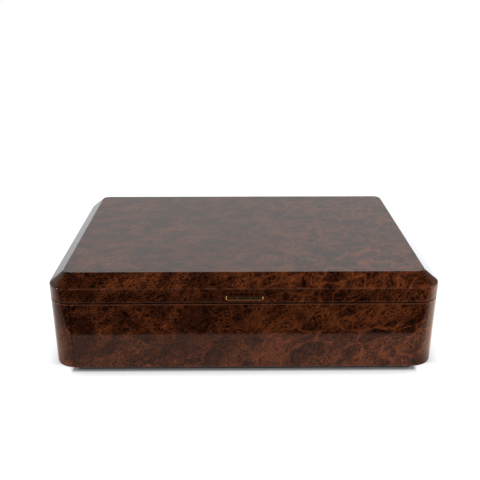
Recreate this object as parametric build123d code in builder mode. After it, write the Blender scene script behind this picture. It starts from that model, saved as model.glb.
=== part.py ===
# Cigar humidor: a veneered, cedar-lined box with a bevelled lid on two stop hinges
# Millimetres, +Z up, front towards -Y, origin at the middle of the footprint on the rest plane

import os

from build123d import *

os.makedirs("parts", exist_ok=True)

# Outside of the box
width = 360.0
depth = 244.0
base_height = 68.0
lid_height = 24.9
corner_radius = 20.4
bevel_width = 13.5
bevel_height = 10.6
seam_gap = 0.3
bottom_easing = 0.7

# Foot: a plain board that ends where the corners start to turn
felt_thickness = 1.5
felt_inset = 1.0
plinth_thickness = 3.5
plinth_inset = 4.5
plinth_corner = 3.0

# Walls and boards
wall = 10.0
lid_top = 9.0
panel_thickness = 6.0
cedar = 5.0
cedar_floor_thickness = 4.0
lid_panel_thickness = 3.0

# Lip that seals the lid: the base lining stands proud of the rim
lip_height = 6.0
lip_clearance = 0.6
lip_lead = 1.0
lip_gap = 0.6

# Hinges: axis behind the back face at the seam, leaves let into the rims
hinge_from_end = 70.0
hinge_length = 40.0
knuckle_count = 3
knuckle_gap = 0.2
knuckle_radius = 2.7
back_clearance = 0.1
leaf_width = 9.0
leaf_thickness = 1.6
leaf_play = 0.1
pin_radius = 1.1
pin_clearance = 0.05
open_angle = 95.0
stop_play = 0.05

# Hinge screws, their 90 degree heads sunk just under the face
screw_shank_radius = 0.9
screw_play = 0.05
screw_sink = 0.1
screw_head_height = leaf_thickness - screw_sink
hinge_screw_length = 9.0
hinge_screw_count = 2
hinge_screw_spacing = 24.0
hinge_screw_inset = 4.6

# Brass lift on the front of the lid
lift_width = 35.0
lift_projection = 5.5
lift_thickness = 3.6
lift_height = 5.4
lift_corner = 2.7
lift_easing = 0.6
tongue_width = 27.0
tongue_length = 7.0
tongue_play = 0.05

# Humidifier, held to steel strips under the lid by magnets
humidifier_x = 38.0
humidifier_length = 150.0
humidifier_width = 62.0
humidifier_height = 11.0
humidifier_corner = 7.0
humidifier_wall = 2.0
humidifier_back = 3.0
grille_thickness = 2.0
grille_rebate = 1.0
grille_play = 0.1
grille_slot_length = 46.0
grille_slot_width = 3.5
grille_columns = 15
grille_column_pitch = 8.8
foam_side_gap = 1.6
foam_play = 0.3
magnet_length = 20.0
magnet_width = 10.0
magnet_thickness = 1.6
magnet_play = 0.05
magnet_gap = 0.2
magnet_columns = 2
magnet_column_pitch = 110.0
magnet_row_pitch = 38.0
strip_length = 128.0
strip_width = 12.0
strip_thickness = 1.0

# Hygrometer under the lid, its face looking down when the lid is shut
hygrometer_x = -88.0
hygrometer_radius = 23.0
hygrometer_height = 9.0
hygrometer_wall = 2.0
bezel_width = 4.2
bezel_thickness = 1.6
bezel_slope = 1.4
glass_thickness = 1.3
glass_play = 0.1
dial_depth = 2.6
spindle_radius = 0.6
spindle_play = 0.05
spindle_head_radius = 1.1
spindle_head_thickness = 0.4
needle_thickness = 0.35
needle_length = 15.0
needle_tail = 5.5
needle_width = 1.5
needle_hub_radius = 1.9
needle_reading = 48.0

# Lift-out tray on side rails, its top this far under the humidifier
tray_headroom = 8.6
tray_height = 20.0
tray_clearance = 1.0
tray_wall = 5.0
tray_bottom_thickness = 3.0
tray_edge = 0.8
tray_slot_length = 84.0
tray_slot_width = 6.0
tray_slot_columns = 3
tray_slot_rows = 8
tray_slot_margin = 12.0
finger_width = 46.0
finger_depth = 9.0
finger_corner = 7.0
rail_width = 6.0
rail_height = 8.0
rest_gap = 0.1

# Loose dividers
tray_divider_x = 45.0
tray_divider_thickness = 4.0
tray_divider_drop = 3.0
divider_x = 55.0
divider_thickness = 5.0
divider_drop = 4.0
divider_clearance = 0.5
divider_edge = 1.0

# Levels and inner faces that follow from the sizes above
body_bottom = felt_thickness + plinth_thickness
seam = body_bottom + base_height
base_rim = seam - seam_gap / 2
lid_rim = seam + seam_gap / 2
top = seam + lid_height
panel_top = body_bottom + panel_thickness
floor_top = panel_top + cedar_floor_thickness
lip_top = seam + lip_height
lid_ceiling = top - lid_top
lid_panel_bottom = lid_ceiling - lid_panel_thickness
inside_x = width / 2 - wall
inside_y = depth / 2 - wall
clear_x = inside_x - cedar
clear_y = inside_y - cedar
lid_inside_x = inside_x + lip_clearance
lid_inside_y = inside_y + lip_clearance
hinge_y = depth / 2 + back_clearance + knuckle_radius
hinge_places = (hinge_from_end - width / 2, width / 2 - hinge_from_end)
hinge_screw_y = depth / 2 - hinge_screw_inset
lift_bottom = seam + lift_height
tongue_y = -depth / 2 + tongue_length / 2
humidifier_top = lid_panel_bottom - strip_thickness - magnet_gap
humidifier_bottom = humidifier_top - humidifier_height
tray_top = humidifier_bottom - tray_headroom
tray_underside = tray_top - tray_height
rail_top = tray_underside - rest_gap
tray_half_x = clear_x - tray_clearance
tray_half_y = clear_y - tray_clearance
divider_top = rail_top - divider_drop


def write(piece, name):
    """Label a finished piece and write it under its own name."""
    piece.part.label = name
    export_step(piece.part, f"parts/{name}.step")


def board(x_size, y_size, bottom, upper, x=0.0):
    """A plain sawn board, its middle at x."""
    with BuildPart() as piece:
        with BuildSketch(Plane.XY.offset(bottom)):
            with Locations((x, 0)):
                Rectangle(x_size, y_size)
        extrude(amount=upper - bottom)
    return piece


def mitred_board(side, half_x, half_y, thickness, bottom, upper, lead=0.0):
    """One of four mitred boards, its outer face on the given half size; lead eases its outer top edge."""
    x_dir, reach, half_length = {
        "front": ((1, 0, 0), half_y, half_x),
        "right": ((0, 1, 0), half_x, half_y),
        "back": ((-1, 0, 0), half_y, half_x),
        "left": ((0, -1, 0), half_x, half_y),
    }[side]
    with BuildPart() as piece:
        with BuildSketch(Plane(origin=(0, 0, bottom), x_dir=x_dir, z_dir=(0, 0, 1))):
            with BuildLine():
                Polyline(
                    (-half_length, -reach),
                    (half_length, -reach),
                    (half_length - thickness, thickness - reach),
                    (thickness - half_length, thickness - reach),
                    close=True,
                )
            make_face()
        extrude(amount=upper - bottom)
        if lead > 0:
            outer_edge = piece.faces().sort_by(Axis.Z)[-1].edges().sort_by(SortBy.LENGTH)[-1]
            chamfer(outer_edge, lead)
    return piece


def hinge_screw():
    """A countersunk screw with a plain shank, head at the origin and point down."""
    with BuildPart() as piece:
        with BuildSketch(Plane.XZ):
            with BuildLine():
                Polyline(
                    (0, 0),
                    (screw_shank_radius + screw_head_height, 0),
                    (screw_shank_radius, -screw_head_height),
                    (screw_shank_radius, -hinge_screw_length),
                    (0, -hinge_screw_length),
                    close=True,
                )
            make_face()
        revolve(axis=Axis.Z)
    return piece.part


def hinge_screw_hole():
    """The countersunk hole that takes such a screw, its mouth level with the face over the sunk head."""
    with BuildPart() as piece:
        with Locations((0, 0, screw_sink)):
            CounterSinkHole(
                screw_shank_radius + screw_play,
                screw_shank_radius + screw_head_height + screw_sink + screw_play,
                depth=hinge_screw_length + screw_sink + screw_play,
                counter_sink_angle=90,
                mode=Mode.ADD,
            )
    return piece.part


def hinge_screw_places(rim, upward):
    """Where the hinge screws' heads sit in a rim; upward is true in the lid."""
    first = -hinge_screw_spacing * (hinge_screw_count - 1) / 2
    turn = 180 if upward else 0
    head = rim + screw_sink if upward else rim - screw_sink
    return [
        Location((x + first + index * hinge_screw_spacing, hinge_screw_y, head), (turn, 0, 0))
        for x in hinge_places
        for index in range(hinge_screw_count)
    ]


def placed(solid, places):
    """Copies of one solid at every place, as a group."""
    with BuildPart() as group:
        with Locations(*places):
            add(solid)
    return group


def leaf_mortises(rim, upward):
    """The wood that both leaves take out of a rim, open at the back."""
    with BuildPart() as piece:
        with BuildSketch(Plane.XY.offset(rim)):
            with Locations(*[(x, depth / 2) for x in hinge_places]):
                Rectangle(hinge_length + 2 * leaf_play, 2 * (leaf_width + leaf_play))
        extrude(amount=leaf_thickness if upward else -leaf_thickness)
    return piece.part


# Cutters for the hinge screws and the leaves
screw_hole = hinge_screw_hole()
base_mortises = leaf_mortises(base_rim, upward=False)
lid_mortises = leaf_mortises(lid_rim, upward=True)


# Felt and plinth
plinth_length = width - 2 * corner_radius
plinth_width = depth - 2 * plinth_inset
with BuildPart() as base_felt:
    with BuildSketch():
        RectangleRounded(plinth_length - 2 * felt_inset, plinth_width - 2 * felt_inset, plinth_corner - felt_inset)
    extrude(amount=felt_thickness)
write(base_felt, "base_felt")

with BuildPart() as plinth:
    with BuildSketch(Plane.XY.offset(felt_thickness)):
        RectangleRounded(plinth_length, plinth_width, plinth_corner)
    extrude(amount=plinth_thickness)
write(plinth, "plinth")


# Base case: four walls in one veneered frame
with BuildPart() as base_case:
    with BuildSketch(Plane.XY.offset(body_bottom)):
        RectangleRounded(width, depth, corner_radius)
    extrude(amount=base_rim - body_bottom)
    chamfer(base_case.faces().sort_by(Axis.Z)[0].edges(), bottom_easing)
    with BuildSketch(Plane.XY.offset(body_bottom)):
        Rectangle(2 * inside_x, 2 * inside_y)
    extrude(amount=base_rim - body_bottom, mode=Mode.SUBTRACT)
    add(base_mortises, mode=Mode.SUBTRACT)
    with Locations(*hinge_screw_places(base_rim, upward=False)):
        add(screw_hole, mode=Mode.SUBTRACT)
write(base_case, "base_case")

base_panel = board(2 * inside_x, 2 * inside_y, body_bottom, panel_top)
write(base_panel, "base_panel")

cedar_floor = board(2 * clear_x, 2 * clear_y, panel_top, floor_top)
write(cedar_floor, "cedar_floor")


# Cedar lining of the base, whose top is the lip
for side in ("front", "back", "left", "right"):
    lining = mitred_board(side, inside_x, inside_y, cedar, panel_top, lip_top, lip_lead)
    write(lining, f"base_lining_{side}")


# Rails that carry the tray
for side, direction in (("left", -1), ("right", 1)):
    rail_x = direction * (clear_x - rail_width / 2)
    rail = board(rail_width, 2 * clear_y, rail_top - rail_height, rail_top, x=rail_x)
    write(rail, f"tray_rail_{side}")


# Lid case: a hollow lid with a bevel all round
with BuildPart() as lid_case:
    with BuildSketch(Plane.XY.offset(lid_rim)):
        RectangleRounded(width, depth, corner_radius)
    extrude(amount=top - lid_rim)
    lid_top_face = lid_case.faces().sort_by(Axis.Z)[-1]
    chamfer(lid_top_face.edges(), bevel_width, bevel_height, reference=lid_top_face)
    with BuildSketch(Plane.XY.offset(lid_rim)):
        Rectangle(2 * lid_inside_x, 2 * lid_inside_y)
    extrude(amount=lid_ceiling - lid_rim, mode=Mode.SUBTRACT)
    add(lid_mortises, mode=Mode.SUBTRACT)
    with Locations(*hinge_screw_places(lid_rim, upward=True)):
        add(screw_hole, mode=Mode.SUBTRACT)
    with BuildSketch(Plane.XY.offset(lift_bottom - tongue_play)):
        with Locations((0, tongue_y)):
            Rectangle(tongue_width + 2 * tongue_play, tongue_length + 2 * tongue_play)
    extrude(amount=lift_thickness + 2 * tongue_play, mode=Mode.SUBTRACT)
write(lid_case, "lid_case")


# Cedar lining of the lid
lid_lining_panel = board(2 * lid_inside_x, 2 * lid_inside_y, lid_panel_bottom, lid_ceiling)
write(lid_lining_panel, "lid_lining_panel")

for side in ("front", "back", "left", "right"):
    lining = mitred_board(side, lid_inside_x, lid_inside_y, cedar, lip_top + lip_gap, lid_panel_bottom)
    write(lining, f"lid_lining_{side}")


# Lid lift: a rounded brass tab, its tongue glued into a slot in the wall
with BuildPart() as lid_lift:
    with BuildSketch(Plane.XY.offset(lift_bottom)):
        with Locations((0, -depth / 2)):
            Rectangle(lift_width, lift_projection, align=(Align.CENTER, Align.MAX))
        fillet(vertices().group_by(Axis.Y)[0], lift_corner)
    extrude(amount=lift_thickness)
    outer_edges = lid_lift.edges().filter_by(Axis.Z, reverse=True)
    exposed = outer_edges.filter_by(lambda edge: edge.center().Y < -depth / 2 - 0.01)
    chamfer(exposed, lift_easing)
    with BuildSketch(Plane.XY.offset(lift_bottom)):
        with Locations((0, -depth / 2)):
            Rectangle(tongue_width, tongue_length, align=(Align.CENTER, Align.MIN))
    extrude(amount=lift_thickness)
write(lid_lift, "lid_lift")


def hinge_leaves(upward):
    """Both leaves of one half, with knuckles and square stop heels; upward is true in the lid."""
    rim = lid_rim if upward else base_rim
    rise = 1 if upward else -1
    pitch = hinge_length / knuckle_count
    stop_reach = knuckle_radius + back_clearance - stop_play
    heel_turn = rise * (open_angle - 90)
    heel_align = (Align.MIN, Align.MAX if upward else Align.MIN)
    web_align = (Align.MAX, Align.MIN if upward else Align.MAX)
    with BuildPart() as leaves:
        with BuildSketch(Plane.XY.offset(rim)):
            with Locations(*[(x, depth / 2) for x in hinge_places]):
                Rectangle(hinge_length, leaf_width, align=(Align.CENTER, Align.MAX))
        extrude(amount=rise * leaf_thickness)
        for x in hinge_places:
            for index in range(1 if upward else 0, knuckle_count, 2):
                with BuildSketch(Plane.YZ.offset(x - hinge_length / 2 + index * pitch + knuckle_gap / 2)):
                    with Locations((hinge_y, seam)):
                        Circle(knuckle_radius)
                    with Locations(Location((hinge_y, seam, 0), (0, 0, heel_turn))):
                        Rectangle(leaf_thickness, stop_reach, align=heel_align)
                    with Locations((hinge_y, rim)):
                        Rectangle(hinge_y - depth / 2, leaf_thickness, align=web_align)
                    with Locations((hinge_y, seam)):
                        Circle(pin_radius + pin_clearance, mode=Mode.SUBTRACT)
                extrude(amount=pitch - knuckle_gap)
        with Locations(*hinge_screw_places(rim, upward)):
            add(screw_hole, mode=Mode.SUBTRACT)
    return leaves


# Stop hinges, each kind of piece as a group of two or four
write(hinge_leaves(upward=False), "hinge_base_leaves")
write(hinge_leaves(upward=True), "hinge_lid_leaves")

with BuildPart() as hinge_pins:
    for x in hinge_places:
        with BuildSketch(Plane.YZ.offset(x - hinge_length / 2)):
            with Locations((hinge_y, seam)):
                Circle(pin_radius)
        extrude(amount=hinge_length)
write(hinge_pins, "hinge_pins")

write(placed(hinge_screw(), hinge_screw_places(base_rim, upward=False)), "hinge_base_screws")
write(placed(hinge_screw(), hinge_screw_places(lid_rim, upward=True)), "hinge_lid_screws")


# Steel strips under the lid
with BuildPart() as humidifier_strips:
    with BuildSketch(Plane.XY.offset(lid_panel_bottom)):
        with Locations((humidifier_x, 0)):
            with GridLocations(0, magnet_row_pitch, 1, 2):
                Rectangle(strip_length, strip_width)
    extrude(amount=-strip_thickness)
write(humidifier_strips, "humidifier_strips")


# Humidifier: a shallow case open downwards, with magnets let into its back
with BuildPart() as humidifier_case:
    with BuildSketch(Plane.XY.offset(humidifier_top)):
        with Locations((humidifier_x, 0)):
            RectangleRounded(humidifier_length, humidifier_width, humidifier_corner)
    extrude(amount=-humidifier_height)
    with BuildSketch(Plane.XY.offset(humidifier_bottom)):
        with Locations((humidifier_x, 0)):
            RectangleRounded(
                humidifier_length - 2 * humidifier_wall,
                humidifier_width - 2 * humidifier_wall,
                humidifier_corner - humidifier_wall,
            )
    extrude(amount=humidifier_height - humidifier_back, mode=Mode.SUBTRACT)
    with BuildSketch(Plane.XY.offset(humidifier_bottom)):
        with Locations((humidifier_x, 0)):
            RectangleRounded(
                humidifier_length - 2 * grille_rebate,
                humidifier_width - 2 * grille_rebate,
                humidifier_corner - grille_rebate,
            )
    extrude(amount=grille_thickness, mode=Mode.SUBTRACT)
    with BuildSketch(Plane.XY.offset(humidifier_top)):
        with Locations((humidifier_x, 0)):
            with GridLocations(magnet_column_pitch, magnet_row_pitch, magnet_columns, 2):
                Rectangle(magnet_length + 2 * magnet_play, magnet_width + 2 * magnet_play)
    extrude(amount=-magnet_thickness, mode=Mode.SUBTRACT)
write(humidifier_case, "humidifier_case")

with BuildPart() as humidifier_magnets:
    with BuildSketch(Plane.XY.offset(humidifier_top)):
        with Locations((humidifier_x, 0)):
            with GridLocations(magnet_column_pitch, magnet_row_pitch, magnet_columns, 2):
                Rectangle(magnet_length, magnet_width)
    extrude(amount=-magnet_thickness)
write(humidifier_magnets, "humidifier_magnets")

with BuildPart() as humidifier_grille:
    grille_shrink = 2 * (grille_rebate + grille_play)
    with BuildSketch(Plane.XY.offset(humidifier_bottom)):
        with Locations((humidifier_x, 0)):
            RectangleRounded(
                humidifier_length - grille_shrink,
                humidifier_width - grille_shrink,
                humidifier_corner - grille_shrink / 2,
            )
            with GridLocations(grille_column_pitch, 0, grille_columns, 1):
                Rectangle(grille_slot_width, grille_slot_length, mode=Mode.SUBTRACT)
    extrude(amount=grille_thickness)
write(humidifier_grille, "humidifier_grille")

humidifier_foam = board(
    humidifier_length - 2 * (humidifier_wall + foam_side_gap),
    humidifier_width - 2 * (humidifier_wall + foam_side_gap),
    humidifier_bottom + grille_thickness + foam_play,
    humidifier_top - humidifier_back - foam_play,
    x=humidifier_x,
)
write(humidifier_foam, "humidifier_foam")


# Hygrometer: a turned case with a sloping bezel, its glass and dial let in from behind
hygrometer_plane = Plane(origin=(hygrometer_x, 0, 0), x_dir=(1, 0, 0), z_dir=(0, -1, 0))
hygrometer_axis = Axis((hygrometer_x, 0, 0), (0, 0, 1))
hygrometer_front = lid_panel_bottom - hygrometer_height
hygrometer_bore = hygrometer_radius - hygrometer_wall
glass_seat = hygrometer_front + bezel_thickness
glass_back = glass_seat + glass_thickness
dial_front = glass_back + dial_depth
needle_front = (glass_back + dial_front - needle_thickness) / 2
spindle_head = needle_front - spindle_play


def turned(*outline):
    """A piece turned about the hygrometer's axis from radius and height pairs."""
    with BuildPart() as piece:
        with BuildSketch(hygrometer_plane):
            with BuildLine():
                Polyline(*outline, close=True)
            make_face()
        revolve(axis=hygrometer_axis)
    return piece


def disc(radius, bottom, thickness):
    """A plain disc on the hygrometer's axis."""
    with BuildPart() as piece:
        with BuildSketch(Plane.XY.offset(bottom)):
            with Locations((hygrometer_x, 0)):
                Circle(radius)
        extrude(amount=thickness)
    return piece


hygrometer_case = turned(
    (hygrometer_radius, lid_panel_bottom),
    (hygrometer_radius, hygrometer_front),
    (hygrometer_radius - bezel_width + bezel_slope, hygrometer_front),
    (hygrometer_radius - bezel_width, glass_seat),
    (hygrometer_bore, glass_seat),
    (hygrometer_bore, lid_panel_bottom),
)
write(hygrometer_case, "hygrometer_case")

hygrometer_glass = disc(hygrometer_bore - glass_play, glass_seat, glass_thickness)
write(hygrometer_glass, "hygrometer_glass")

hygrometer_dial = disc(hygrometer_bore - glass_play, dial_front, lid_panel_bottom - dial_front)
write(hygrometer_dial, "hygrometer_dial")

hygrometer_spindle = turned(
    (0, dial_front),
    (spindle_radius, dial_front),
    (spindle_radius, spindle_head),
    (spindle_head_radius, spindle_head),
    (spindle_head_radius, spindle_head - spindle_head_thickness),
    (0, spindle_head - spindle_head_thickness),
)
write(hygrometer_spindle, "hygrometer_spindle")

needle_plane = Plane((hygrometer_x, 0, needle_front), z_dir=(0, 0, 1)).rotated((0, 0, needle_reading))
with BuildPart() as hygrometer_needle:
    with BuildSketch(needle_plane):
        with BuildLine():
            Polyline(
                (0, -needle_length),
                (needle_width / 2, 0),
                (needle_width / 4, needle_tail),
                (-needle_width / 4, needle_tail),
                (-needle_width / 2, 0),
                close=True,
            )
        make_face()
        Circle(needle_hub_radius)
        Circle(spindle_radius + spindle_play, mode=Mode.SUBTRACT)
    extrude(amount=needle_thickness)
write(hygrometer_needle, "hygrometer_needle")


# Tray walls, with a finger hollow in each end
for side in ("front", "back", "left", "right"):
    tray_side = mitred_board(side, tray_half_x, tray_half_y, tray_wall, tray_underside, tray_top)
    with BuildPart() as tray_board:
        add(tray_side.part)
        if side in ("left", "right"):
            with BuildSketch(Plane.YZ):
                with Locations((0, tray_top)):
                    RectangleRounded(finger_width, 2 * finger_depth, finger_corner)
            extrude(amount=2 * tray_half_x, both=True, mode=Mode.SUBTRACT)
        top_edges = tray_board.faces().sort_by(Axis.Z)[-1].edges().sort_by(SortBy.LENGTH)
        chamfer(top_edges[-1], tray_edge)
    write(tray_board, f"tray_{side}")


# Slatted tray bottom
tray_inside_x = 2 * (tray_half_x - tray_wall)
tray_inside_y = 2 * (tray_half_y - tray_wall)
with BuildPart() as tray_bottom:
    column_pitch = (tray_inside_x - tray_slot_margin) / tray_slot_columns
    row_pitch = (tray_inside_y - tray_slot_margin) / tray_slot_rows
    with BuildSketch(Plane.XY.offset(tray_underside)):
        Rectangle(tray_inside_x, tray_inside_y)
        with GridLocations(column_pitch, row_pitch, tray_slot_columns, tray_slot_rows):
            Rectangle(tray_slot_length, tray_slot_width, mode=Mode.SUBTRACT)
    extrude(amount=tray_bottom_thickness)
write(tray_bottom, "tray_bottom")


def divider(x, thickness, length, bottom, upper):
    """A loose cedar divider across the box, its top edges eased."""
    with BuildPart() as piece:
        add(board(thickness, length, bottom, upper, x=x).part)
        chamfer(piece.faces().sort_by(Axis.Z)[-1].edges().filter_by(Axis.Y), divider_edge)
    return piece


# Loose dividers in the tray and in the base
tray_divider_foot = tray_underside + tray_bottom_thickness + rest_gap
tray_divider = divider(
    tray_divider_x,
    tray_divider_thickness,
    tray_inside_y - 2 * divider_clearance,
    tray_divider_foot,
    tray_top - tray_divider_drop,
)
write(tray_divider, "tray_divider")

for side, x in (("left", -divider_x), ("right", divider_x)):
    base_divider = divider(
        x, divider_thickness, 2 * (clear_y - divider_clearance), floor_top + rest_gap, divider_top
    )
    write(base_divider, f"divider_{side}")
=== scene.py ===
"""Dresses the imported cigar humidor: lacquered burl veneer, cedar, brass, the humidifier and the hygrometer.

Everything is in metres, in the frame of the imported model: +Z up, front towards -Y. Textures are in millimetres.
"""

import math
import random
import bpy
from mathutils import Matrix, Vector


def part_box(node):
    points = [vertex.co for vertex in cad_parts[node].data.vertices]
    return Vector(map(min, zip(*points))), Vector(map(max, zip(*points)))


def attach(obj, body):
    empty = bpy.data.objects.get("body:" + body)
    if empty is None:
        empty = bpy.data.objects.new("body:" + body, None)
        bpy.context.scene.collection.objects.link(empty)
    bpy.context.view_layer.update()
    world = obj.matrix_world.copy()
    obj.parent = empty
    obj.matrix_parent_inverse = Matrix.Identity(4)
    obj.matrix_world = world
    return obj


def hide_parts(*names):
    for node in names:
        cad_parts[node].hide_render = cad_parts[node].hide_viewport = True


bl_info = {
    "name": "Cigar Humidor",
    "version": (1, 0, 0),
    "blender": (4, 5, 0),
    "location": "View3D > Sidebar > Humidor",
    "description": "Finishes and small pieces for a lacquered cigar humidor, with a plain studio round it",
    "category": "Object",
}

import bmesh
import bpy
from bpy.props import FloatProperty, FloatVectorProperty, IntProperty, PointerProperty
from mathutils import Matrix, Vector, noise

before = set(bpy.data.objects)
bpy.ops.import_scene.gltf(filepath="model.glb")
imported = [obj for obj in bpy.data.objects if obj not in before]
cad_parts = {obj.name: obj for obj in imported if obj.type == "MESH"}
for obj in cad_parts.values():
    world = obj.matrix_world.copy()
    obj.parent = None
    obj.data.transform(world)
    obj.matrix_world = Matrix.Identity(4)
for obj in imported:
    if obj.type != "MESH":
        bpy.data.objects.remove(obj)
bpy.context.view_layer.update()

MM = 0.001
WELD = 0.005 * MM  # vertices nearer than this are one
PRINT_LIFT = 0.03 * MM  # how far the dial's ink stands off it
PRINT_THICKNESS = 0.02 * MM

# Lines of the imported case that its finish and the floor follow, in millimetres
SEAM = (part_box("base_case")[1].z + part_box("lid_case")[0].z) / 2 / MM
BEVEL_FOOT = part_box("lid_case")[1].z / MM - 10.6
VENEER_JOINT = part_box("base_case")[0].x / MM + 20.4  # just past the rounded corner on the left
FRONT_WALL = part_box("base_case")[0].y / MM


# Settings


def colour(name, description, default):
    """A colour setting, in linear light."""
    return FloatVectorProperty(
        name=name, description=description, default=default, subtype="COLOR", size=3, min=0.0, max=1.0
    )


def number(name, description, default, **kind):
    """A setting that is never below nought."""
    return FloatProperty(name=name, description=description, default=default, min=0.0, **kind)


def length(name, description, default_mm):
    """A length setting, given here in millimetres."""
    return number(name, description, default_mm * MM, unit="LENGTH", precision=5)


def angle(name, description, default_degrees):
    """An angle setting, given here in degrees."""
    return FloatProperty(name=name, description=description, default=math.radians(default_degrees), subtype="ANGLE")


class BurlSettings(bpy.types.PropertyGroup):
    """The veneer and its lacquer."""

    eye: colour("Eyes", "The darkest spots of the burl", (0.0028, 0.0008, 0.0005))
    ground: colour("Ground", "Wood between the eyes", (0.018, 0.0042, 0.0020))
    # The rubbed edge colour is partly rubbed veneer and partly a painted highlight along the rounded arrises
    rubbed: colour("Rubbed edge", "Veneer rubbed paler along the edges", (0.110, 0.041, 0.0210))
    vein: colour("Veins", "The light veins between the clusters", (0.130, 0.0330, 0.0100))
    lacquer_roughness: number(
        "Lacquer roughness", "Roughness of the lacquer's surface", 0.035, subtype="FACTOR", max=1.0
    )
    arris: length("Arris", "Rounding of the lid's bevel edges under the lacquer", 0.95)
    seam_arris: length("Seam arris", "Rounding of the edges at the seam", 0.45)


class WoodSettings(bpy.types.PropertyGroup):
    """The unfinished and stained wood, and the felt under it."""

    cedar_light: colour("Cedar, light", "Early wood of the Spanish cedar", (0.56, 0.31, 0.175))
    cedar_dark: colour("Cedar, dark", "Late wood of the Spanish cedar", (0.34, 0.15, 0.075))
    cedar_pore: colour("Cedar, pores", "Open pores of the Spanish cedar", (0.13, 0.052, 0.026))
    ply_light: colour("Plywood, light", "Early wood of the birch plywood", (0.62, 0.46, 0.29))
    ply_dark: colour("Plywood, dark", "Late wood and glue lines of the birch plywood", (0.40, 0.26, 0.14))
    stain: colour("Stain", "Stain of the plinth", (0.032, 0.027, 0.024))
    felt_deep: colour("Felt, deep", "Felt between its fibres", (0.016, 0.017, 0.018))
    felt_fibre: colour("Felt, fibres", "Loose fibres of the felt", (0.075, 0.075, 0.08))
    board_edge: length("Board edge", "Rounding of the cedar boards' edges", 0.35)
    felt_corner: length("Felt corner", "Rounding of the felt's corners", 2.0)
    felt_edge: length("Felt edge", "Softness of the felt's cut edge", 0.5)


class MetalSettings(bpy.types.PropertyGroup):
    """Brass and steel."""

    brass: colour("Brass", "Polished brass", (0.83, 0.60, 0.27))
    tarnish: colour("Tarnish", "Brass where it has dulled", (0.62, 0.41, 0.17))
    steel: colour("Steel", "Nickel-plated steel", (0.58, 0.57, 0.55))
    brass_edge: length("Brass edge", "Rounding of the brass pieces' edges", 0.25)
    slot_width: length("Slot width", "Width of the slots in the screw heads", 0.7)
    slot_depth: length("Slot depth", "Depth of the slots in the screw heads", 0.7)


class GaugeSettings(bpy.types.PropertyGroup):
    """The hygrometer's dial and the humidifier."""

    dial: colour("Dial", "Enamel of the dial", (0.84, 0.81, 0.73))
    dial_aged: colour("Dial, aged", "Enamel where it has yellowed", (0.76, 0.70, 0.58))
    print_ink: colour("Print", "Ink of the scale", (0.022, 0.02, 0.02))
    needle: colour("Needle", "Paint of the needle", (0.02, 0.02, 0.02))
    comfort_band: colour("Comfort band", "Band on the dial where the reading should stay", (0.12, 0.24, 0.10))
    plastic: colour("Plastic", "The humidifier's case", (0.020, 0.020, 0.022))
    plastic_worn: colour("Plastic, worn", "The humidifier's case where it is handled", (0.032, 0.032, 0.034))
    foam: colour("Foam", "Walls of the humidifier's foam", (0.07, 0.16, 0.085))
    foam_pore: colour("Foam, pores", "Pores of the humidifier's foam", (0.012, 0.026, 0.015))
    sweep: angle("Sweep", "Angle from the lowest to the highest mark of the scale", 240.0)
    figure_height: length("Figure height", "Height of the numbers on the scale", 3.1)
    marks: IntProperty(name="Marks", description="Marks on the scale, from 0 to 100", default=51, min=11, max=101)


class StageSettings(bpy.types.PropertyGroup):
    """Camera, floor and light."""

    focal_length: number("Focal length", "Camera's focal length", 49.79, unit="CAMERA")
    camera_place: FloatVectorProperty(
        name="Camera place", description="Where the camera stands", default=(-0.0089, -0.6582, 0.3550),
        subtype="TRANSLATION", unit="LENGTH", size=3,
    )
    camera_down: angle("Camera down", "How far the camera looks down", 22.30)
    camera_right: angle("Camera right", "How far the camera looks to the right", 0.51)
    overhead_power: number("Overhead", "Power of the overhead light", 15.0, unit="POWER")
    side_power: number("Sides", "Power of each side light", 12.0, unit="POWER")
    fill: number("Fill", "Level of the even light from all round", 0.30)
    glint: number("Glint", "Level of the small low lamp on each side that the rounded corners mirror", 14.0)
    bounce: number("Bounce", "Level of the light that the pale floor in front throws back at the box", 2.1)
    pale_reach: length("Pale reach", "How far the pale floor runs out in front, as the lacquer mirrors it", 70.0)
    contact: length("Contact shadow", "Reach of the darkest shadow round the foot", 23.0)
    paper: colour("Paper", "The floor's own colour", (0.50, 0.50, 0.50))
    paper_light: colour("Paper, lit", "Tint of the floor as the camera sees it", (0.94, 0.97, 1.0))
    mirrored: colour("Mirrored floor", "The floor as the lacquer mirrors it", (0.86, 0.90, 0.94))
    mirrored_ahead: colour("Mirrored, ahead", "The same ahead of the box", (0.58, 0.36, 0.30))
    mirrored_corner: colour("Mirrored, corners", "The same beside the front corners", (0.85, 0.62, 0.50))


# Helpers for shader and geometry nodes


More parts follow.
